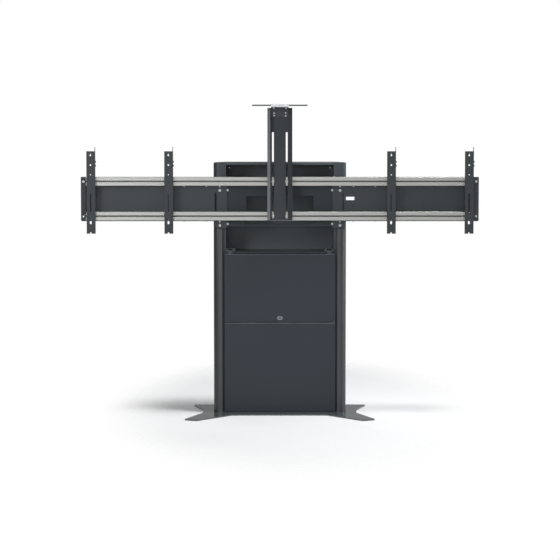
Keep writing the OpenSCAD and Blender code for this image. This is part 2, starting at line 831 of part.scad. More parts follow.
module head_back_panel() {
    top = head_z1 + cap_t - sheet_t;
    y1 = col_y1 - 2 - sheet_t;
    color(DARKER) difference() {
        box(-col_x0, col_x0, y1 - 20, y1, head_z0, top);
        box(-col_x0 + sheet_t, col_x0 - sheet_t, y1 - 21, y1 - sheet_t, head_z0 + sheet_t,
            top - sheet_t);
        for (s = [-1, 1])
            rod_y(small_r + bolt_gap, s * (col_x0 - 13.5), head_z1 - 27, y1 - 5, y1 + 1);
    }
}

module carriage_plate() {
    lip = 25;
    color(DARK) {
        difference() {
            box(-col_x0, col_x0, col_y0, col_y0 + carriage_t, carriage_z0, carriage_z1);
            box(-window_w / 2, window_w / 2, col_y0 - 1, col_y0 + carriage_t + 1,
                sill_z, sill_z + window_h);
            for (s = [-1, 1], z = rim_bolt_z)
                rod_y(big_r + bolt_gap, s * rim_bolt_x, z, col_y0 - 1, col_y0 + carriage_t + 1);
        }
        box(-col_x0, col_x0, col_y0 + 1, col_y0 + lip, carriage_z0, carriage_z0 + carriage_t);
    }
}

module bracket(s) {
    x1 = bracket_x0 + bracket_w;
    xw = bracket_x0 + bracket_wide;
    low_top = lower_z - rail_h / 2 - 2;
    step_z = upper_z - rail_h / 2 - step_drop;
    color(DARK) on_side(s) difference() {
        translate([0, col_y0, 0]) rotate([90, 0, 0]) linear_extrude(bracket_t)
            polygon([[bracket_x0, head_z0], [xw - 14, head_z0], [xw, head_z0 + 14],
                [xw, low_top], [x1, low_top + 12], [x1, step_z - 1], [x1 + 1, step_z],
                [xw, step_z], [xw, upper_z + rail_h / 2], [bracket_x0, upper_z + rail_h / 2]]);
        bracket_holes(col_y0 - bracket_t - 1, col_y0 + 1);
        for (z = rim_bolt_z) rod_y(7, rim_bolt_x, z, col_y0 - bracket_t - 1, col_y0 + 1);
    }
}

module left_bracket() { bracket(-1); }
module right_bracket() { bracket(1); }

// Extruded rail with a tee slot in its front and its back
module rail(z) {
    module slot_cut(front) {
        y0 = front ? rail_y0 : rail_y1 - slot_lip;
        ty = front ? rail_y0 + slot_lip : rail_y1 - slot_lip - tee_depth;
        translate([y0 - 0.5, -slot_w / 2]) square([slot_lip + 1, slot_w]);
        translate([ty, -tee_w / 2]) square([tee_depth, tee_w]);
    }
    color(SILVER) difference() {
        translate([-rail_x, 0, z]) rotate([90, 0, 90]) linear_extrude(rail_len)
            difference() {
                translate([(rail_y0 + rail_y1) / 2, 0]) round_rect(rail_d, rail_h, 1.5);
                slot_cut(true);
                slot_cut(false);
            }
        rail_screw_holes(z);
    }
}

module upper_rail() { rail(upper_z); }
module lower_rail() { rail(lower_z); }

tray_screw_xs = [tray_x0 + 42, tray_x0 + 156];
tray_screw_y = (rail_y0 + rail_y1) / 2;
tray_screw_r = 2;
tray_screw_len = 9;

module rail_screw_holes(z) {
    for (s = [-1, 1], x = tray_screw_xs)
        rod_z(tray_screw_r + bolt_gap, s * x, tray_screw_y, z - rail_h / 2 - 1,
            z - rail_h / 2 + tray_screw_len);
}

// Cable tray: back wall with a lip under each rail
module tray(s) {
    y1 = rail_y1 + sheet_t;
    z0 = lower_z - rail_h / 2 - sheet_t;
    z1 = upper_z - rail_h / 2;
    color(DARK) on_side(s) difference() {
        union() {
            box(tray_x0, rail_x, rail_y1, y1, z0, z1);
            box(tray_x0, rail_x, rail_y0 + 2, y1, z0, z0 + sheet_t);
            box(tray_x0, rail_x, rail_y0 + 2, rail_y0 + 2 + sheet_t, z0 - end_over, z0 + 1);
            box(tray_x0, rail_x, rail_y0 + 8, y1, z1 - sheet_t, z1);
        }
        for (x = tray_screw_xs)
            rod_z(tray_screw_r + bolt_gap, x, tray_screw_y, z0 - 1, z1 + 1);
        if (s > 0) box(tray_x0 + notch_leg, tray_x0 + notch_leg + notch_w, rail_y1 - 1, y1 + 1,
            lower_z + rail_pitch / 2 - notch_h / 2, lower_z + rail_pitch / 2 + notch_h / 2);
    }
}

module left_tray() { tray(-1); }
module right_tray() { tray(1); }

end_bolt_x = rail_x - 11.5;
end_x1 = rail_x + end_t;

module end_plate(s) {
    z0 = lower_z - rail_h / 2 - sheet_t - end_over;
    z1 = upper_z + rail_h / 2;
    r = 8;
    color(DARK) on_side(s) difference() {
        union() {
            box(end_x1 - end_leaf, end_x1, rail_y0 - end_t, rail_y0, z0, z1);
            box(rail_x, end_x1, rail_y0 - end_t, rail_y1, z0, z1);
        }
        for (z = [lower_z, upper_z])
            rod_y(big_r + bolt_gap, end_bolt_x, z, rail_y0 - end_t - 1, rail_y0 + 1);
        translate([end_x1 - r, 0, z0 + r]) rotate([90, 0, 0]) difference() {
            translate([0, -r - 1, -rail_d * 2]) cube([r + 1, r + 1, rail_d * 4]);
            translate([0, 0, -rail_d * 2 - 1]) cylinder(r = r, h = rail_d * 4 + 2);
        }
    }
}

module left_end_plate() { end_plate(-1); }
module right_end_plate() { end_plate(1); }

// Bolt from the front into a tee nut in the rail's front slot
module tee_bolt(x, z, y, head_r, head_h, len) {
    rod_y(head_r, x, z, y - head_h, y);
    rod_y(big_r, x, z, y - head_h / 2, rail_y0 + slot_lip + tee_depth - 1);
    box(x - len / 2, x + len / 2, rail_y0 + slot_lip, rail_y0 + slot_lip + 5,
        z - tee_w / 2 + 1, z + tee_w / 2 - 1);
}

module head_bolts() {
    color(BRIGHT) for (s = [-1, 1]) on_side(s) {
        for (z = big_bolt_z)
            front_screw(bolt_x, z, col_y0 - bracket_t, 7, 4, big_r, bracket_t + column_wall);
        for (z = small_bolt_z)
            front_screw(bolt_x, z, col_y0 - bracket_t, 4, 2.5, small_r, bracket_t + column_wall);
        for (z = rim_bolt_z)
            front_screw(rim_bolt_x, z, col_y0, 6, 4, big_r, carriage_t + 4);
        front_screw(col_x0 - 13.5, head_z1 - 27, col_y1 - 2 - 2 * sheet_t, 4, 2.5, small_r,
            sheet_t);
        for (z = [lower_z, upper_z]) {
            box(rail_bolt_x - tee_len / 2, rail_bolt_x + tee_len / 2, rail_y1 - slot_lip - 5,
                rail_y1 - slot_lip, z - tee_w / 2 + 1, z + tee_w / 2 - 1);
            rod_y(big_r, rail_bolt_x, z, rail_y1 - slot_lip - 1, cav_y0 + 8);
            rod_y(7, rail_bolt_x, z, cav_y0, cav_y0 + 6.5);
            tee_bolt(end_bolt_x, z, rail_y0 - end_t, 6, 4, end_tee_len);
        }
        for (x = tray_screw_xs, z = [lower_z - rail_h / 2 - sheet_t, upper_z - rail_h / 2 - sheet_t]) {
            rod_z(5, x, tray_screw_y, z - tray_screw_head, z);
            rod_z(tray_screw_r, x, tray_screw_y, z - 1, z + tray_screw_len - 1);
        }
    }
}

post_bolt_x = post_slot_pitch / 2;

module post_clamp_bolts() {
    color(BRIGHT) for (s = [-1, 1], z = [lower_z, upper_z]) {
        rod_y(7.5, s * post_bolt_x, z, post_y1 - post_t - 2, post_y1 - post_t - clamp_gap);
        tee_bolt(s * post_bolt_x, z, post_y1 - post_t - 1, 6.5, 5, tee_len);
    }
}

// Display strips: a folded face strip with a side plate, held in the rails' front slots

module strip_face(x) {
    w = strip_w / 2;
    long_z1 = strip_z1 - long_slot_drop;
    low_z1 = strip_z1 - thin_slot_drop;
    hole_z = strip_z1 - first_hole;
    color(DARK) difference() {
        union() {
            box(x - w, x + w, strip_y0, strip_y0 + strip_t, strip_z0, strip_z1);
            box(x - w, x - w + strip_t, strip_y0, strip_back, strip_z0, strip_z1);
        }
        for (i = [0, 1])
            rod_y(bolt_hole_r, x, hole_z - i * hole_pitch, strip_y0 - 1, strip_y0 + strip_t + 1);
        rod_y(bolt_hole_r * 0.65, x, hole_z - 2 * hole_pitch, strip_y0 - 1,
            strip_y0 + strip_t + 1);
        box(x - 0.7, x + 0.7, strip_y0 - 1, strip_y0 + strip_t + 1, hole_z,
            hole_z + bolt_hole_r + 7);
        slot_z(x, long_z1 - 97, long_z1, 7.5, strip_y0 - 1, strip_y0 + strip_t + 1);
        slot_z(x, low_z1 - 46, low_z1, 3.4, strip_y0 - 1, strip_y0 + strip_t + 1);
        slot_z(x, low_z1 - 46, low_z1 - 28, 9.5, strip_y0 - 1, strip_y0 + strip_t + 1);
        rod_y(4, x, strip_z0 + notch_d - 4, strip_y0 - 1, strip_y0 + strip_t + 1);
        box(x - 4, x + 4, strip_y0 - 1, strip_y0 + strip_t + 1, strip_z0 - 1,
            strip_z0 + notch_d - 4);
    }
}

side_screw_z = [strip_z1 - 74, strip_z1 - 54];
side_screw_r = 3;

module strip_side_plate(x) {
    x0 = x + strip_w / 2;
    ym = (strip_y0 + strip_back) / 2;
    color(DARK) difference() {
        union() {
            box(x0, x0 + side_plate_t, strip_y0 + 1, strip_back, strip_z0, strip_z1);
            box(x0, x0 + side_plate_t, ym, strip_back, strip_z1 - 1,
                strip_z1 + side_plate_over);
        }
        for (z = side_screw_z) rod_x(side_screw_r + bolt_gap, ym, z, x0 - 1, x0 + side_plate_t + 1);
    }
}

module strip(i) {
    strip_face(strip_xs[i]);
    strip_side_plate(strip_xs[i]);
}

// Clamp that runs in a rail's front slot and carries the strip
module strip_clamp(x, z) {
    y1 = rail_y0 - clamp_gap;
    half = strip_w / 2;
    box(x - half + strip_t, x + half, strip_y0 + strip_t, strip_back, z - 15, z + 15);
    box(x - clamp_w / 2, x + clamp_w / 2, strip_back - 1, y1, z - 15, z + 15);
    box(x - tee_len / 2, x + tee_len / 2, y1 - 1, rail_y0 + slot_lip + 3,
        z - slot_w / 2 + clamp_gap, z + slot_w / 2 - clamp_gap);
    box(x - tee_len / 2, x + tee_len / 2, rail_y0 + slot_lip + clamp_gap,
        rail_y0 + slot_lip + tee_depth - 1, z - tee_w / 2 + 1, z + tee_w / 2 - 1);
}

module strip_fixings(i) {
    x = strip_xs[i];
    x0 = x + strip_w / 2;
    ym = (strip_y0 + strip_back) / 2;
    color(DARKER) for (z = [lower_z, upper_z]) strip_clamp(x, z);
    color(STEEL) for (z = side_screw_z) {
        rod_x(side_screw_r, ym, z, x0 - 4, x0 + side_plate_t + 1);
        rod_x(5, ym, z, x0 + side_plate_t, x0 + side_plate_t + 4);
        rod_x(5, ym, z, x0 - 5, x0);
    }
}

module strip_1() { strip(0); }
module strip_2() { strip(1); }
module strip_3() { strip(2); }
module strip_4() { strip(3); }
module strip_1_fixings() { strip_fixings(0); }
module strip_2_fixings() { strip_fixings(1); }
module strip_3_fixings() { strip_fixings(2); }
module strip_4_fixings() { strip_fixings(3); }

// Camera post, with a shelf on top

shelf_bolt_x = 30;
shelf_bolt_z = [post_z1 - 26, post_z1 - 39];
shelf_bolt_r = 2.5;

module camera_post() {
    slot_z0 = post_z0 + post_slot_rise;
    color(DARK) difference() {
        union() {
            box(post_x0, post_x1, post_y1 - post_t, post_y1, post_z0, post_z1);
            box(post_x0, post_x0 + post_t, post_y0, post_y1, post_z0, post_z1);
            box(post_x1 - post_t, post_x1, post_y0, post_y1, post_z0, post_z1);
        }
        for (s = [-1, 1]) {
            slot_z(s * post_bolt_x, slot_z0, slot_z0 + post_slot_len, post_slot_w,
                post_y1 - post_t - 1, post_y1 + 1);
            for (z = shelf_bolt_z)
                rod_y(shelf_bolt_r + bolt_gap, s * shelf_bolt_x, z, post_y1 - post_t - 1, post_y1 + 1);
        }
    }
}

module post_cable_duct() {
    x0 = -post_w / 2;
    color("#7e7e7e") difference() {
        box(x0, post_x0, post_y0, post_y1, post_z0, post_z1);
        box(x0 + 1.2, post_x0 - 1.2, post_y0 + 1.2, post_y1 - 1.2, post_z0 - 1, post_z1 + 1);
    }
}

leaf_z0 = post_z1 + 1;
leaf_z1 = post_z1 + 4;
leaf_bolt_y = shelf_y0 + 10;

// Angle under the aluminium block: its leaf carries the block, its web is screwed to the post
module shelf_bracket() {
    half = shelf_block_w / 2;
    web_y1 = post_y1 - post_t;
    color(DARKER) difference() {
        union() {
            box(-half, half, shelf_y0 - 3, web_y1, leaf_z0, leaf_z1);
            box(-half, half, web_y1 - 5, web_y1, post_z1 - 48, leaf_z1);
        }
        rod_z(camera_hole_r + 3, 0, shelf_screw_y, post_z1 - 1, leaf_z1 + 1);
        for (s = [-1, 1]) {
            rod_z(3 + bolt_gap, s * shelf_bolt_x, leaf_bolt_y, leaf_z0 - 1, leaf_z1 + 1);
            for (z = shelf_bolt_z)
                rod_y(shelf_bolt_r + bolt_gap, s * shelf_bolt_x, z, web_y1 - 6, web_y1 + 1);
        }
    }
}

module shelf_block() {
    half = shelf_block_w / 2;
    y1 = shelf_screw_y - camera_hole_r - 8.6;
    color(BRIGHT) {
        box(-half, half, shelf_y0 - 3, y1, leaf_z1, shelf_z0);
        box(-half, half, shelf_y0 - 3, shelf_y0, leaf_z1, shelf_z1 + 2.5);
        box(-half, half, shelf_y0 + sheet_t, y1, shelf_z0 - 1, shelf_z1 - sheet_t);
        for (s = [-1, 1]) {
            rod_z(3, s * shelf_bolt_x, leaf_bolt_y, leaf_z0 - 2, leaf_z1 + 1);
            rod_z(5, s * shelf_bolt_x, leaf_bolt_y, leaf_z0 - 4, leaf_z0);
        }
    }
    color(BRIGHT) for (s = [-1, 1], z = shelf_bolt_z)
        front_screw(s * shelf_bolt_x, z, post_y1 - post_t - 5, 3.8, 2.5, shelf_bolt_r, 5 + post_t);
}

module camera_shelf() {
    y1 = shelf_y0 + shelf_d;
    color(STEEL) difference() {
        box(-shelf_w / 2, shelf_w / 2, shelf_y0, y1, shelf_z0, shelf_z1);
        box(-shelf_w / 2 + sheet_t, shelf_w / 2 - sheet_t, shelf_y0 + sheet_t, y1 - sheet_t,
            shelf_z0 - 1, shelf_z1 - sheet_t);
        rod_z(camera_hole_r, 0, shelf_screw_y, shelf_z0 - 1, shelf_z1 + 1);
    }
}

module panel_screws() {
    y1 = col_y1 - 2;
    panel_h = panel_z1 - panel_z0;
    color(BRIGHT) for (s = [-1, 1], f = [0.04, 0.5, 0.96])
        rod_y(4, s * (col_x0 - 12), panel_z0 + f * panel_h, y1, y1 + 2);
}

floor_plate();
column_foot_blocks();
foot_screws();
left_column();
right_column();
column_collars();
left_drive();
right_drive();
base_beam();
back_panel();
niche_shelf();
lower_panel();
lock_beam();
equipment_shelf();
control_box();
mains_inlet();
hinge_blocks();
hinge_pins();
panel_screws();
flap_door();
flap_hinge_arms();
lock_body();
lock_barrel();
lock_cam();
left_spindle();
right_spindle();
left_lift_tube();
right_lift_tube();
tube_guide_shoes();
spindle_nuts();
head_clamp_blocks();
left_head_column();
right_head_column();
head_caps();
head_top_cover();
head_back_panel();
carriage_plate();
left_bracket();
right_bracket();
upper_rail();
lower_rail();
left_tray();
right_tray();
left_end_plate();
right_end_plate();
head_bolts();
post_clamp_bolts();
strip_1();
strip_1_fixings();
strip_2();
strip_2_fixings();
strip_3();
strip_3_fixings();
strip_4();
strip_4_fixings();
camera_post();
post_cable_duct();
shelf_bracket();
shelf_block();
camera_shelf();
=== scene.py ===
# %% [markdown]
# # Floor lift for two displays
# The real object is a motorised stand. A flat steel plate lies on the floor, and two columns
# stand on it with a small cabinet between them. Inside each column a spindle pushes a tube up,
# and the two tubes lift a head with two long aluminium rails. Four strips for the displays and
# a post for a camera hang on the rails. The solid model already has every true shape and size,
# so this script gives it edges, sockets in its screws, finishes, light and a view.

# %% Load the solid model
import json
import math

import bmesh
import bpy
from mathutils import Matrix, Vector

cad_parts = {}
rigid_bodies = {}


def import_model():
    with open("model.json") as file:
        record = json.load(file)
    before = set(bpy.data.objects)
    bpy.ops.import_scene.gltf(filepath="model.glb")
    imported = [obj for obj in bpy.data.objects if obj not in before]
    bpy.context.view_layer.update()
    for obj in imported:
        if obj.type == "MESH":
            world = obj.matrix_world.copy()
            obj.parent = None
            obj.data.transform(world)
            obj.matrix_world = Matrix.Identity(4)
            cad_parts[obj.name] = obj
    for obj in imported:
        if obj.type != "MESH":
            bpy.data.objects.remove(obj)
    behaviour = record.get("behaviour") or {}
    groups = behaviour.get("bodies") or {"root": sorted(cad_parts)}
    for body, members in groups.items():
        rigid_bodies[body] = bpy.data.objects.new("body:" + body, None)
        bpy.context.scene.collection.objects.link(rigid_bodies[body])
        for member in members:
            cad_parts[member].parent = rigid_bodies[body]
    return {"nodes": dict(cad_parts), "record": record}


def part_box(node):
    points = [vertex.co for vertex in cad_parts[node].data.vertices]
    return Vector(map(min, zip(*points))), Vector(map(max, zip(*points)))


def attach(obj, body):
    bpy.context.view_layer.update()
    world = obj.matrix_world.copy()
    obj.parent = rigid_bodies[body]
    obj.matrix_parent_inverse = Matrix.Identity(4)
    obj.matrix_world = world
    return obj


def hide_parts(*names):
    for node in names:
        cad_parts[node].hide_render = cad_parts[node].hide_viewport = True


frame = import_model()
nodes = frame["nodes"]
body_of_node = {
    node: body for body, names in frame["record"]["behaviour"]["bodies"].items() for node in names
}
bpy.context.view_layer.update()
scene = bpy.context.scene
print("solid pieces:", len(nodes))

# %% [markdown]
# ## The camera
# The photograph was taken with a long lens from about twelve metres away, at the height of the
# camera shelf and tilted down a little. A short lens from close by could show the whole stand
# too, but its upright lines would lean. A long lens keeps the columns upright and parallel,
# which suits a tall product. The height and the tilt together decide how much of the floor
# plate is seen, so they were fitted first, to the plate's corners.

# %% Camera
camera_place = (0.0009, -11.907, 1.5954)
camera_tilt = math.radians(4.326)
sensor_mm, lens_mm = 36.0, 148.2
farthest_seen = 300.0
lens = bpy.data.cameras.new("front_view")
lens.sensor_width = sensor_mm
lens.lens = lens_mm
lens.clip_end = farthest_seen
camera = bpy.data.objects.new("front_view", lens)
camera.location = camera_place
camera.rotation_euler = (math.pi / 2 - camera_tilt, 0.0, 0.0)
scene.collection.objects.link(camera)
scene.camera = camera
print("camera height:", camera_place[2], "m, lens:", lens_mm, "mm")

# %% [markdown]
# ## Colours and a helper for shader nodes
# Colours are read off real finishes as sRGB hex values, but shaders work with linear light, so
# one function converts them. Nodes could be placed and wired one by one in the editor, which
# takes minutes for each finish. Here one small helper adds a node, sets its inputs and links
# it, which keeps each finish short enough to read at a glance.

# %% Colour and node helpers
def linear(hex_colour):
    channels = [int(hex_colour[i:i + 2], 16) / 255.0 for i in (1, 3, 5)]
    light = [c / 12.92 if c <= 0.04045 else ((c + 0.055) / 1.055) ** 2.4 for c in channels]
    return tuple(light) + (1.0,)


def add(material, kind, settings=None, inputs=None, links=None):
    made = material.node_tree.nodes.new(kind)
    for name, value in (settings or {}).items():
        setattr(made, name, value)
    for name, value in (inputs or {}).items():
        made.inputs[name].default_value = value
    for name, socket in (links or {}).items():
        material.node_tree.links.new(socket, made.inputs[name])
    return made


print("a mid grey, #808080, in linear light:", round(linear("#808080")[0], 3))

# %% [markdown]
# ## What all finishes share
# Every finish starts from the same physical shader and reads the piece's own coordinates, so a
# pattern stays on its piece when the piece moves. A coat or a plated layer is never quite
# even, and where it is thicker both its tone and its gloss change. Two separate patterns could
# drive the two, but they would drift apart, so one pattern drives both here.

# %% Start of a finish, and its uneven layer
def start_finish(name, colour, metallic, roughness, other_inputs=None):
    material = bpy.data.materials.new(name)
    material.use_nodes = True
    shader = material.node_tree.nodes["Principled BSDF"]
    shader_inputs = {"Base Color": linear(colour), "Metallic": metallic, "Roughness": roughness}
    shader_inputs.update(other_inputs or {})
    for input_name, value in shader_inputs.items():
        shader.inputs[input_name].default_value = value
    coordinates = add(material, "ShaderNodeTexCoord")
    return material, shader, coordinates.outputs["Object"]


def uneven_layer(material, shader, pattern, colour, pale, smoothest, roughest):
    tone = add(material, "ShaderNodeMix", {"data_type": "RGBA"},
               {"A": linear(colour), "B": linear(pale)}, {"Factor": pattern})
    gloss = add(material, "ShaderNodeMapRange",
                inputs={"To Min": smoothest, "To Max": roughest}, links={"Value": pattern})
    material.node_tree.links.new(tone.outputs["Result"], shader.inputs["Base Color"])
    material.node_tree.links.new(gloss.outputs["Result"], shader.inputs["Roughness"])


print("materials before the first finish:", len(bpy.data.materials))

# %% [markdown]
# ## Powder coat
# The sheet steel is powder coated: dry paint is blown on as dust and melted in an oven. The
# melt never goes quite flat, and leaves a skin like orange peel with bumps about a millimetre
# apart. It is a plastic skin over metal, so it isn't metallic. A photo of a coated sheet could
# be wrapped round each piece, but noise has no seams and no limit of sharpness. A fine noise
# gives the bumps, and a broad, faint one the slow change of tone that a large sheet always has.

# %% Powder coat
coat_ior = 1.5
coat_spread = 0.05
clouds_per_metre = 4.0
peel_mm = 1.6
peel_strength, peel_depth = 0.25, 0.00006


def powder_coat(name, colour, pale, roughness, sheen):
    material, shader, place = start_finish(
        name, colour, 0.0, roughness, {"IOR": coat_ior, "Specular IOR Level": sheen})
    peel = add(material, "ShaderNodeTexNoise",
               inputs={"Scale": 1000.0 / peel_mm, "Detail": 2.0}, links={"Vector": place})
    bump = add(material, "ShaderNodeBump",
               inputs={"Strength": peel_strength, "Distance": peel_depth},
               links={"Height": peel.outputs["Fac"]})
    cloud = add(material, "ShaderNodeTexNoise",
                inputs={"Scale": clouds_per_metre, "Detail": 3.0}, links={"Vector": place})
    uneven_layer(material, shader, cloud.outputs["Fac"], colour, pale,
                 roughness - coat_spread, roughness + coat_spread)
    material.node_tree.links.new(bump.outputs["Normal"], shader.inputs["Normal"])
    return material


print("bumps in the coat per metre:", 1000.0 / peel_mm)

# %% [markdown]
# ## Tones of the coat
# One charcoal for all the sheets would be simpler, but here each group of pieces gets a tone
# and a shine of its own, a little lighter or darker, duller or glossier. The columns' coat is
# the darkest. The floor plate's is by far the glossiest, and the doors', the recesses' and the
# carriage plate's are dull. The carriage plate's matt coat, which shows darker, and the
# recesses' coat are painted shade; the palest coat, on folds, is a painted highlight, and the
# inner sheets' lighter grey is painted light in the niche and the head. Each line gives a name,
# two tones, the roughness and the strength of the shine.

# %% Tones of powder coat
charcoal = "charcoal powder coat"
charcoal_coat = powder_coat(charcoal, "#282e32", "#2d3337", 0.40, 0.38)
strip_coat = powder_coat(charcoal + " on strips and post", "#282d31", "#2d3236", 0.45, 0.3)
column_coat = powder_coat(charcoal + " on columns", "#1c2226", "#21272b", 0.34, 0.65)
head_coat = powder_coat(charcoal + " on head columns", "#2b3137", "#30363c", 0.42, 0.38)
# painted shade: a dull coat for the columns' step beside the doors
recess_shade_coat = powder_coat(charcoal + ", painted shade in recesses", "#373c41", "#3c4146", 0.50, 0.25)
# painted shade: a matt coat that shows darker, on the carriage plate and the shelf's lip
painted_shade_coat = powder_coat(charcoal + ", matt, painted shade", "#272d31", "#2c3236", 0.55, 0.25)
# painted highlight: a paler, glossier coat on top folds and the carriage plate's lower edge
fold_highlight_coat = powder_coat(charcoal + " with painted highlight on top folds", "#4b5155", "#51575b", 0.40, 0.5)
cover_coat = powder_coat(charcoal + " on top cover", "#333a3e", "#383f43", 0.42, 0.4)
door_coat = powder_coat(charcoal + " on doors", "#262d33", "#2a3137", 0.50, 0.25)
# painted light: a lighter grey for the sheets inside the niche and the head
inner_light_coat = powder_coat("grey powder coat, painted light on inner sheets", "#484e51", "#4e5456", 0.50, 0.3)
plate_coat = powder_coat(charcoal + " on floor plate", "#383e40", "#3e4446", 0.20, 0.8)
print("powder coats:", len([m for m in bpy.data.materials if "powder coat" in m.name]))

# %% [markdown]
# ## Anodised aluminium and drawn steel
# The rails are pressed through a die, which draws fine streaks along their whole length, and
# are then anodised. The clear oxide layer makes the metal matt and slightly grey; inside the
# slots a darker, rougher copy stands in as painted shade. The lifting tubes are drawn through
# a die too, and nickel plated, which makes them pale and much shinier. An anisotropic shader
# could stretch the shine, but it would show no streaks close up. So a noise is stretched five
# hundred times along the piece, which is along X on the rails and along Z on the tubes.

# %% Anodised aluminium and drawn steel
streak_stretch = 0.002
streak_strength, streak_depth = 0.06, 0.00003
drawn_spread = 0.03


def drawn_metal(name, colour, pale, roughness, along, streak_mm):
    material, shader, place = start_finish(name, colour, 1.0, roughness)
    stretch = [1.0, 1.0, 1.0]
    stretch["XYZ".index(along)] = streak_stretch
    stretched = add(material, "ShaderNodeMapping", inputs={"Scale": tuple(stretch)},
                    links={"Vector": place})
    streaks = add(material, "ShaderNodeTexNoise",
                  inputs={"Scale": 1000.0 / streak_mm, "Detail": 3.0},
                  links={"Vector": stretched.outputs["Vector"]})
    uneven_layer(material, shader, streaks.outputs["Fac"], colour, pale,
                 roughness - drawn_spread, roughness + drawn_spread)
    bump = add(material, "ShaderNodeBump",
               inputs={"Strength": streak_strength, "Distance": streak_depth},
               links={"Height": streaks.outputs["Fac"]})
    material.node_tree.links.new(bump.outputs["Normal"], shader.inputs["Normal"])
    return material


anodised = drawn_metal(
    "clear anodised aluminium, extruded", "#a0a19f", "#a4a5a2", 0.42, "X", 3.0)
# painted shade: a darker copy of the anodising for the walls inside the slots
slot_shade = drawn_metal(
    "anodised aluminium, painted shade in the slots", "#747574", "#7a7b7a", 0.60, "X", 3.0)
tube_steel = drawn_metal(
    "drawn steel tube, nickel plated", "#b4b7ba", "#c3c6c9", 0.26, "Z", 1.2)
print("drawn metals:", anodised.name, "/", slot_shade.name, "/", tube_steel.name)

# %% [markdown]
# ## Plated screws and machined blocks
# Screws are zinc plated in a rolling barrel, which leaves a cloudy, blue-white shine, and
# black zinc on clamps and hinges is nearly as dark as the coat. The lock is a nickel plated
# casting, grey and soft in its shine, with a darker turned barrel. Spindles, pins and the
# blocks inside the columns are ground steel, bright and even, the spindle nuts are yellow
# bronze, and the block under the camera shelf is machined aluminium. One plain metal would do
# for pieces this small, but clouds keep a row of screws from looking like copies of each other.

# %% Plated and machined metals
smoother_by, rougher_by = 0.07, 0.09


def cloudy_metal(name, colour, pale, roughness, cloud_mm=6.0):
    material, shader, place = start_finish(name, colour, 1.0, roughness)
    cloud = add(material, "ShaderNodeTexNoise",
                inputs={"Scale": 1000.0 / cloud_mm, "Detail": 4.0}, links={"Vector": place})
    uneven_layer(material, shader, cloud.outputs["Fac"], colour, pale,
                 roughness - smoother_by, roughness + rougher_by)
    return material


zinc = cloudy_metal("zinc plated steel", "#9a9da0", "#adb0b2", 0.34)
dark_zinc = cloudy_metal("black zinc plated steel", "#3b3e41", "#4c5053", 0.40)
nickel_casting = cloudy_metal("nickel plated zinc casting", "#6f7276", "#7d8084", 0.38)
lock_steel = cloudy_metal("turned steel lock barrel", "#5c5f63", "#6a6d71", 0.42)
ground_steel = cloudy_metal("ground steel", "#a9acae", "#bcbfc1", 0.30, 12.0)
bronze = cloudy_metal("machined bronze", "#b08a4e", "#c39d60", 0.32, 12.0)
milled_aluminium = cloudy_metal("machined aluminium", "#a9acad", "#b9bbbc", 0.34, 20.0)
print("the screws' finish:", zinc.name)

# %% [markdown]
# ## Moulded and extruded plastic
# Gear housings, guides, the control box and the mains inlet are moulded in black plastic with
# a fine spark-eroded grain, which is what a moulding tool usually leaves and what makes the
# plastic look dry. The cable duct is extruded in grey PVC. The grain could be real geometry,
# but it is far too fine: only its dull shine is seen. So a pattern of small cells is used as
# bumps, and a coarser noise makes handled patches a little smoother.

# %% Plastics
plastic_ior = 1.53
grain_mm = 0.9
grain_strength, grain_depth = 0.2, 0.00005
handled_patches_per_metre = 30.0
plastic_spread = 0.06


def moulded_plastic(name, colour, roughness):
    material, shader, place = start_finish(name, colour, 0.0, roughness, {"IOR": plastic_ior})
    grain = add(material, "ShaderNodeTexVoronoi", inputs={"Scale": 1000.0 / grain_mm},
                links={"Vector": place})
    bump = add(material, "ShaderNodeBump",
               inputs={"Strength": grain_strength, "Distance": grain_depth},
               links={"Height": grain.outputs["Distance"]})
    handled = add(material, "ShaderNodeTexNoise",
                  inputs={"Scale": handled_patches_per_metre, "Detail": 4.0},
                  links={"Vector": place})
    gloss = add(material, "ShaderNodeMapRange",
                inputs={"To Min": roughness - plastic_spread,
                        "To Max": roughness + plastic_spread},
                links={"Value": handled.outputs["Fac"]})
    material.node_tree.links.new(bump.outputs["Normal"], shader.inputs["Normal"])
    material.node_tree.links.new(gloss.outputs["Result"], shader.inputs["Roughness"])
    return material


black_abs = moulded_plastic("moulded black ABS", "#1b1c1e", 0.52)
grey_pvc = moulded_plastic("extruded grey PVC", "#54575a", 0.5)
print("plastics:", black_abs.name, "/", grey_pvc.name)

# %% [markdown]
# ## Give every solid its finish
# Each solid of the model gets one of these finishes. They could be given out one by one as the
# pieces are made, but whatever a solid is later replaced by takes the same finish, so this
# table is the one place where a piece's material is chosen. A solid that isn't in the table
# has the plain charcoal coat.

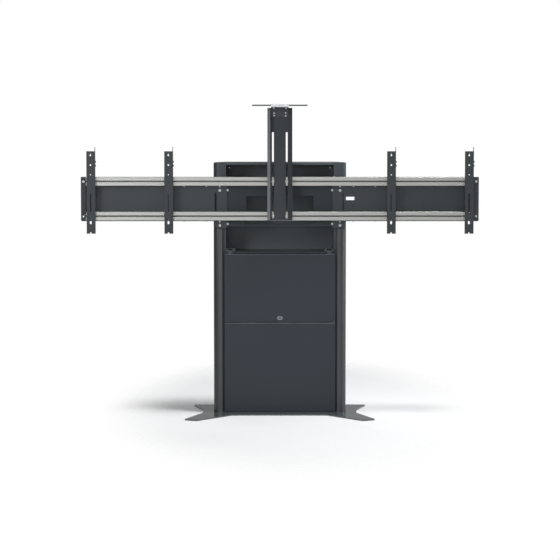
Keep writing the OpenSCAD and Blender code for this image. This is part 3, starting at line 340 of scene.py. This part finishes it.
# %% Finishes by piece
pieces_of_finish = [
    (plate_coat, ["floor_plate"]),
    (door_coat, ["flap_door", "lower_panel"]),
    # painted shade on the carriage plate
    (painted_shade_coat, ["carriage_plate"]),
    (cover_coat, ["head_top_cover"]),
    (column_coat, ["left_column", "right_column"]),
    (head_coat, ["left_head_column", "right_head_column"]),
    (strip_coat, ["strip_1", "strip_2", "strip_3", "strip_4", "camera_post", "left_end_plate",
                  "right_end_plate"]),
    # painted light on the sheets inside the niche and the head
    (inner_light_coat, ["back_panel", "niche_shelf", "head_back_panel"]),
    (anodised, ["upper_rail", "lower_rail"]),
    (tube_steel, ["left_lift_tube", "right_lift_tube"]),
    (zinc, ["head_bolts", "post_clamp_bolts", "foot_screws", "panel_screws"]),
    (dark_zinc, ["strip_1_fixings", "strip_2_fixings", "strip_3_fixings", "strip_4_fixings",
                 "hinge_blocks", "flap_hinge_arms"]),
    (ground_steel, ["left_spindle", "right_spindle", "hinge_pins", "lock_cam",
                    "column_foot_blocks", "head_clamp_blocks"]),
    (bronze, ["spindle_nuts"]),
    (nickel_casting, ["lock_body"]),
    (lock_steel, ["lock_barrel"]),
    (milled_aluminium, ["shelf_block"]),
    (black_abs, ["left_drive", "right_drive", "tube_guide_shoes", "control_box", "mains_inlet"]),
    (grey_pvc, ["post_cable_duct"]),
]
finish = {name: charcoal_coat for name in nodes}
for material, names in pieces_of_finish:
    finish.update({name: material for name in names})
for name, node in nodes.items():
    node.data.materials.clear()
    node.data.materials.append(finish[name])
print("finishes used:", len({m.name for m in finish.values()}))

# %% [markdown]
# ## Sockets in screw heads
# The screws are driven with a hexagon key, so each head has a six-sided socket. A socket could
# be cut out of each head with a boolean, but that is slow and often leaves broken faces. Here
# a head's end is found as a small, flat, round face that looks the right way. Its middle is
# inset, the inset ring is pulled in to a hexagon, and the hexagon is sunk into the head. The
# three proportions are shares of the head's radius.

# %% Hexagon sockets in screw heads
least_corners = 24
roundness = 0.0002
smallest_head, largest_head = 0.002, 0.0075
faces_the_side = 0.99
socket_inset, socket_reach, socket_depth = 0.45, 0.42, 0.35
sixth_turn = math.radians(60)


def head_ends(sheet, side):
    ends = []
    for face in sheet.faces:
        middle = face.calc_center_median()
        reach = [(vert.co - middle).length for vert in face.verts]
        is_round = len(reach) >= least_corners and max(reach) - min(reach) < roundness
        is_head = smallest_head < max(reach) < largest_head
        if is_round and is_head and face.normal.dot(side) > faces_the_side:
            ends.append((face, middle, max(reach)))
    return ends


def sink_sockets(sheet, side):
    ends = head_ends(sheet, side)
    for face, middle, radius in ends:
        bmesh.ops.inset_individual(sheet, faces=[face], thickness=radius * socket_inset)
        across = face.verts[0].co - middle
        across.normalize()
        beside = side.cross(across)
        for vert in face.verts:
            arm = vert.co - middle
            angle = math.atan2(arm.dot(beside), arm.dot(across)) % sixth_turn
            reach = radius * socket_reach / math.cos(angle - sixth_turn / 2)
            vert.co = middle + arm.normalized() * reach
        sunk = bmesh.ops.extrude_discrete_faces(sheet, faces=[face])["faces"][0]
        bmesh.ops.translate(sheet, verts=sunk.verts, vec=-side * radius * socket_depth)
    print("sockets:", len(ends))


print("socket of a 10 mm head, across its flats:", round(10 * socket_reach, 2), "mm")

# %% [markdown]
# ## From triangles to sheets
# The solid model arrives as loose triangles. Beveling those would round every invisible seam
# between two triangles. So the corners are joined first, and triangles that lie in one plane
# are merged into one flat face. The editor has the same two steps, as Merge by Distance and
# Limited Dissolve. The solid itself is left alone, and a copy of it is worked on.

# %% Merged copy of a solid
weld_distance = 0.000004
flat_angle = math.radians(0.6)


def merged(node_name):
    sheet = bmesh.new()
    sheet.from_mesh(nodes[node_name].data)
    bmesh.ops.remove_doubles(sheet, verts=sheet.verts, dist=weld_distance)
    bmesh.ops.dissolve_limit(sheet, angle_limit=flat_angle, verts=sheet.verts,
                             edges=sheet.edges)
    return sheet


trial_sheet = merged("flap_door")
print("flap door:", len(nodes["flap_door"].data.polygons), "triangles merged into",
      len(trial_sheet.faces), "faces")

# %% [markdown]
# ## Which edges are folds
# The doors' fronts are folded round a wider tool than the rest of the sheets, so their long
# front edges need a wider bevel. The edges could be picked by hand in the editor, but they
# would have to be picked again after every change of the model. Here a fold is a sharp edge
# that is longer than 300 mm and lies in the sheet's foremost plane. Being sharp matters: a
# long seam between two parts of one flat face isn't a fold, and would leave a scar.

# %% Sharp edges and front folds
sharp_angle = math.radians(35)
fold_length = 0.3
front_play = 0.0001


def is_sharp(edge):
    return edge.is_manifold and edge.calc_face_angle(0.0) > sharp_angle


def front_folds(sheet, top_z):
    front_y = min(vert.co.y for vert in sheet.verts)
    return [edge for edge in sheet.edges
            if is_sharp(edge) and edge.calc_length() > fold_length and all(
                vert.co.y < front_y + front_play and vert.co.z < top_z for vert in edge.verts)]


print("flap door's front folds:", len(front_folds(trial_sheet, math.inf)))
trial_sheet.free()

# %% [markdown]
# ## Flat faces that stay flat
# A softened piece is shaded smooth, so that its curved walls look round. A broad flat face
# beside a bevel would then be shaded as if it were bent too. Splitting every edge would cure
# that, but it would show the facets of the curves. Weighted normals count each face by its
# area instead, so a large face keeps its own direction and the small bevel takes up the turn.

# %% Finished piece in place of its solid
shading_angle = math.radians(38)


def finish_piece(piece_name, sheet, node_name):
    mesh = bpy.data.meshes.new(piece_name)
    sheet.to_mesh(mesh)
    sheet.free()
    mesh.shade_smooth()
    mesh.set_sharp_from_angle(angle=shading_angle)
    mesh.materials.append(finish[node_name])
    piece = bpy.data.objects.new(piece_name, mesh)
    scene.collection.objects.link(piece)
    even = piece.modifiers.new("flat faces stay flat", "WEIGHTED_NORMAL")
    even.keep_sharp = True
    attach(piece, body_of_node[node_name])
    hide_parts(node_name)


print("shaded smooth below", round(math.degrees(shading_angle)), "degrees")

# %% [markdown]
# ## Soft edges on sheet metal
# A cut and folded sheet has edges rounded by about half a millimetre, and the coat rounds
# them more. Those edges catch the light as thin bright lines, which is most of what tells
# steel from cardboard. A Bevel modifier could round them all alike. Here the folds are beveled
# first with a radius of their own, and then every edge that is sharper than 35 degrees gets
# the narrow one. Bevels that meet in a corner can leave edges of almost no length, and those
# are dissolved before the sockets are sunk.

# %% Softened copy of a solid
shortest_edge = 0.000003


def soften(node_name, radius, *socket_sides):
    sheet = merged(node_name)
    if node_name in fold_radius:
        folds = front_folds(sheet, fold_below.get(node_name, math.inf))
        bmesh.ops.bevel(sheet, geom=folds, offset=fold_radius[node_name], affect="EDGES",
                        segments=4, profile=0.5, material=-1)
    sharp_edges = [edge for edge in sheet.edges if is_sharp(edge)]
    bmesh.ops.bevel(sheet, geom=sharp_edges, offset=radius, affect="EDGES", segments=2,
                    profile=0.5, material=-1, clamp_overlap=True)
    bmesh.ops.dissolve_degenerate(sheet, dist=shortest_edge, edges=sheet.edges)
    for side in socket_sides:
        sink_sockets(sheet, Vector(side))
    finish_piece(node_name + "_soft", sheet, node_name)


carriage_sill_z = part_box("carriage_plate")[0][2] + 0.005
fold_below = {"carriage_plate": carriage_sill_z}
fold_radius = {"flap_door": 0.0035, "lower_panel": 0.0035, "head_top_cover": 0.0015,
               "carriage_plate": 0.0018}
print("carriage plate: folds only below", round(carriage_sill_z, 4), "m")

# %% [markdown]
# ## How soft each edge is
# Radii are in metres. One radius for all would be simpler, but a moulded box or a thick plate
# has softer edges than a thin lip, a drawn tube or an extruded rail, and light shows it.
# Screws show their sockets only on the side that a key reaches: in front and below for the
# head's bolts, in front for the camera post's, behind for the cabinet's and on the right for
# the strips'. Solids that aren't listed here are inside the columns, under the plate or too
# small for a soft edge to show, and stay as they are.

# %% Edge radii and sides with sockets
edge_radius = {
    "floor_plate": 0.0012, "flap_door": 0.0005, "lower_panel": 0.0005, "back_panel": 0.0005,
    "niche_shelf": 0.0002, "lock_beam": 0.0005, "equipment_shelf": 0.0005, "base_beam": 0.0006,
    "left_column": 0.0006, "right_column": 0.0006, "left_head_column": 0.0006,
    "right_head_column": 0.0006, "head_caps": 0.0008, "head_top_cover": 0.0006,
    "head_back_panel": 0.0005, "carriage_plate": 0.0006, "left_bracket": 0.0008,
    "right_bracket": 0.0008, "left_tray": 0.0005, "right_tray": 0.0005,
    "left_end_plate": 0.0007, "right_end_plate": 0.0007, "strip_1": 0.0005, "strip_2": 0.0005,
    "strip_3": 0.0005, "strip_4": 0.0005, "camera_post": 0.0007, "post_cable_duct": 0.0004,
    "camera_shelf": 0.0005, "shelf_block": 0.0006, "shelf_bracket": 0.0005,
    "column_collars": 0.0006, "hinge_blocks": 0.0006, "flap_hinge_arms": 0.0006,
    "control_box": 0.0015, "lock_cam": 0.0004, "left_lift_tube": 0.0003,
    "right_lift_tube": 0.0003, "upper_rail": 0.0004, "lower_rail": 0.0004,
    "lock_body": 0.0007, "lock_barrel": 0.0004,
}
screw_radius = 0.0007
front, back, below, right = (0, -1, 0), (0, 1, 0), (0, 0, -1), (1, 0, 0)
socket_sides = {"head_bolts": (front, below), "post_clamp_bolts": (front,),
                "panel_screws": (back,), "shelf_block": (front,)}
socket_sides.update({"strip_%d_fixings" % number: (right,) for number in (1, 2, 3, 4)})
edge_radius.update({name: edge_radius.get(name, screw_radius) for name in socket_sides})
for name, radius in edge_radius.items():
    soften(name, radius, *socket_sides.get(name, ()))
print("softened pieces:", len(edge_radius))

# %% [markdown]
# ## Painted shade inside the slots
# Little light reaches the bottom of a rail's slot, so the slot's walls get a darker tone,
# which is painted shade, and a rougher surface. The rail could be cut in two pieces, but it is
# one bar of metal, so a second finish is added to it and given to chosen faces. The slot's
# walls lie inside the rail's depth and near its middle height, and don't face along the rail.

# %% Painted shade on the walls inside the rails' slots
def paint_faces(piece_name, material, chosen):
    mesh = bpy.data.objects[piece_name].data
    mesh.materials.append(material)
    slot = len(mesh.materials) - 1
    painted = [face for face in mesh.polygons if chosen(face.normal, face.center)]
    for face in painted:
        face.material_index = slot
    print(piece_name, "faces painted:", len(painted))


rail_skin = 0.001
slot_half_height = 0.012
end_face = 0.5
# painted shade on the walls inside the slots
for name in ("upper_rail", "lower_rail"):
    low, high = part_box(name)
    middle_z = (low[2] + high[2]) / 2.0
    paint_faces(name + "_soft", slot_shade, lambda normal, centre: (
        low[1] + rail_skin < centre.y < high[1] - rail_skin
        and abs(centre.z - middle_z) < slot_half_height and abs(normal.x) < end_face))

# %% [markdown]
# ## Painted highlights on folds, painted shade in the recesses
# The top folds of the doors and of the head's cover, and the lower edge of the carriage plate,
# get a paler, glossier coat, a painted highlight that shows as a thin pale line. The step in
# the columns beside the doors gets a dull coat, and the small front lip of the niche's shelf
# the carriage plate's matt one; both show darker than the sheet round them, as painted shade.
# A painted mask could mark them, but each is a set of faces that look one way, and a normal
# has a length of one, so the share that points to the front or up is enough to choose them.

# %% Painted highlights on folds and painted shade in the recesses
fold_reach = 1.5
least_upward, most_upward = 0.15, 0.98
# painted highlight on the top folds of the doors and the head's cover
for name in ("flap_door", "lower_panel", "head_top_cover"):
    fold_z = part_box(name)[1][2] - fold_reach * fold_radius[name]
    paint_faces(name + "_soft", fold_highlight_coat, lambda normal, centre: (
        least_upward < normal.z < most_upward and centre.z > fold_z))
turned_to, facing, square_on = -0.2, -0.5, -0.9
# painted highlight on the carriage plate's lower edge
paint_faces("carriage_plate_soft", fold_highlight_coat, lambda normal, centre: (
    normal.y < turned_to and normal.z < turned_to and centre.z < carriage_sill_z))
# painted shade on the front lip of the niche's shelf
paint_faces("niche_shelf_soft", painted_shade_coat, lambda normal, centre: normal.y < facing)
# painted shade in the columns' step beside the doors
column_step = 0.010
for name in ("left_column", "right_column"):
    step_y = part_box(name)[0][1] + column_step
    paint_faces(name + "_soft", recess_shade_coat, lambda normal, centre: (
        normal.y < square_on and centre.y > step_y))

# %% [markdown]
# ## The studio floor
# The photograph has a white background and a pale floor with a soft shadow to the left. A
# small floor would show its edges in the lamps' light, so this one reaches far past anything
# that the camera sees. It lies less than half a millimetre below the stand, because two faces
# in one plane would flicker.

# %% Floor
floor_reach = 60.0
floor_z = -0.0004
floor_sheet = bmesh.new()
bmesh.ops.create_grid(floor_sheet, x_segments=1, y_segments=1, size=floor_reach)
floor_mesh = bpy.data.meshes.new("studio_floor")
floor_sheet.to_mesh(floor_mesh)
floor_sheet.free()
floor = bpy.data.objects.new("studio_floor", floor_mesh)
scene.collection.objects.link(floor)
floor.location.z = floor_z
print("the floor reaches", max(vert.co.x for vert in floor_mesh.vertices), "m each way")

# %% [markdown]
# ## Paper that fades
# A plain white floor would end in a horizon. A curved backdrop could hide it, as in a real
# studio, but here the matt paper fades into the white behind it, in a wide oval round the
# stand. The distance is measured on stretched coordinates, which makes the oval longer from
# front to back. The fade exists for the camera alone, so the paper still throws all its light
# back at the stand, and a trace of glow keeps its shadow soft.

# %% Floor paper
white_light = (1.0, 1.0, 1.0, 1.0)
oval_place = {"Location": (-0.08, -0.13, 0.0), "Scale": (1.0, 0.42, 1.0)}
fade_range = {"From Min": 0.6, "From Max": 1.05}
floor_paper, paper, paper_place = start_finish(
    "matt white studio paper", "#d5d6d7", 0.0, 0.9, {"Specular IOR Level": 0.1})
floor_ray = add(floor_paper, "ShaderNodeLightPath")
glow = add(floor_paper, "ShaderNodeEmission", inputs={"Color": white_light, "Strength": 0.01})
lit_paper = add(floor_paper, "ShaderNodeAddShader",
                links={0: paper.outputs[0], 1: glow.outputs[0]})
oval = add(floor_paper, "ShaderNodeMapping", inputs=oval_place, links={"Vector": paper_place})
distance = add(floor_paper, "ShaderNodeVectorMath", {"operation": "LENGTH"},
               links={0: oval.outputs["Vector"]})
fade = add(floor_paper, "ShaderNodeMapRange", {"interpolation_type": "SMOOTHSTEP"},
           fade_range, {"Value": distance.outputs["Value"]})
faded_for_camera = add(
    floor_paper, "ShaderNodeMath", {"operation": "MULTIPLY"},
    links={0: fade.outputs["Result"], 1: floor_ray.outputs["Is Camera Ray"]})
clear = add(floor_paper, "ShaderNodeBsdfTransparent")
fading_paper = add(
    floor_paper, "ShaderNodeMixShader",
    links={0: faded_for_camera.outputs[0], 1: lit_paper.outputs[0], 2: clear.outputs[0]})
floor_output = floor_paper.node_tree.nodes["Material Output"]
floor_paper.node_tree.links.new(fading_paper.outputs[0], floor_output.inputs["Surface"])
floor_mesh.materials.append(floor_paper)
print("paper fades from", fade_range["From Min"], "to", fade_range["From Max"], "m")

# %% [markdown]
# ## The backdrop
# The camera sees pure white behind the stand. If that white also lit the stand, it would wash
# out all its dark paint, so the backdrop's own light is much weaker, and stronger on the right
# than on the left, as beside a large window. A picture of a studio could do this too, but two
# plain backgrounds and the kind of ray are enough. Reflections show the weaker light as well,
# because the real floor plate mirrors a dark left and a bright right, and not a white room.

# %% White backdrop with a light of its own
side_light = {"From Min": -0.9, "From Max": 0.9, "To Min": 0.02, "To Max": 0.66}
world = bpy.data.worlds.new("studio")
scene.world = world
world.use_nodes = True
direction = add(world, "ShaderNodeTexCoord")
sideways = add(world, "ShaderNodeSeparateXYZ", links={"Vector": direction.outputs["Generated"]})
level = add(world, "ShaderNodeMapRange", inputs=side_light,
            links={"Value": sideways.outputs["X"]})
weak_light = add(world, "ShaderNodeBackground", inputs={"Color": white_light},
                 links={"Strength": level.outputs["Result"]})
white = add(world, "ShaderNodeBackground", inputs={"Color": white_light, "Strength": 1.0})
world_ray = add(world, "ShaderNodeLightPath")
sees_white = add(world, "ShaderNodeMath", {"operation": "MAXIMUM"}, links={
    0: world_ray.outputs["Is Camera Ray"], 1: world_ray.outputs["Is Transmission Ray"]})
backdrop = add(world, "ShaderNodeMixShader", links={
    0: sees_white.outputs[0], 1: weak_light.outputs[0], 2: white.outputs[0]})
world_output = world.node_tree.nodes["World Output"]
world.node_tree.links.new(backdrop.outputs[0], world_output.inputs["Surface"])
print("backdrop light, left to right:", side_light["To Min"], "to", side_light["To Max"])

# %% [markdown]
# ## Lamps and flags
# One lamp above, slightly to the right, draws the shadow on the floor to the left. Large soft
# lamps beside and behind the camera light the front, and one on the right puts a bright line
# on the right column's edge. A photographer holds black flags between a lamp and whatever it
# should not reach. Light linking does the same here: the front lamps light the stand and not
# the floor, and two lamps above light the floor alone, so the shadow stays as soft as it is.

# %% What a flagged lamp lights
stand_only = bpy.data.collections.new("the stand alone")
floor_only = bpy.data.collections.new("the floor alone")
floor_only.objects.link(floor)
for thing in scene.objects:
    if thing is not floor and thing.type == "MESH":
        stand_only.objects.link(thing)


def softbox(name, place, aim, width, height, watts, lights=None):
    panel = bpy.data.lights.new(name, "AREA")
    panel.shape = "RECTANGLE"
    panel.size = width
    panel.size_y = height
    panel.energy = watts
    lamp = bpy.data.objects.new(name, panel)
    lamp.location = place
    lamp.rotation_euler = (Vector(aim) - Vector(place)).to_track_quat("-Z", "Y").to_euler()
    scene.collection.objects.link(lamp)
    lamp.light_linking.receiver_collection = lights


# %% [markdown]
# ## The eight lamps
# Each lamp has a place and a point it is aimed at, a width and a height in metres, a power in
# watts and, if it is flagged, what it lights. Small bright lamps could give as much light, but
# their shadows and highlights would have hard edges, and the photograph has none.

# %% Lamps
softbox("key_above", (1.3, -0.65, 4.5), (-0.05, 0.1, 0.0), 1.1, 1.1, 200.0)
softbox("above_front", (0.4, -2.6, 3.8), (0.0, 0.1, 0.3), 1.8, 1.2, 16.0, floor_only)
softbox("above_back", (-0.7, 2.6, 4.2), (-0.4, 0.9, 0.0), 1.8, 1.2, 38.0, floor_only)
softbox("near_left", (-2.9, -4.2, 2.5), (-0.1, 0.0, 0.9), 1.4, 2.3, 122.0, stand_only)
softbox("beside_camera", (-0.9, -13.5, 1.5), (0.0, 0.0, 1.0), 5.0, 2.4, 165.0, stand_only)
softbox("front_right", (4.8, -5.8, 1.35), (0.0, 0.0, 1.0), 2.6, 1.6, 24.0, stand_only)
softbox("side_left", (-4.5, -1.5, 1.6), (0.0, 0.0, 0.8), 1.6, 2.4, 8.0)
softbox("side_right", (5.0, -0.5, 1.6), (0.2, 0.1, 0.7), 2.0, 2.4, 82.0)
scene.view_settings.view_transform = "Standard"
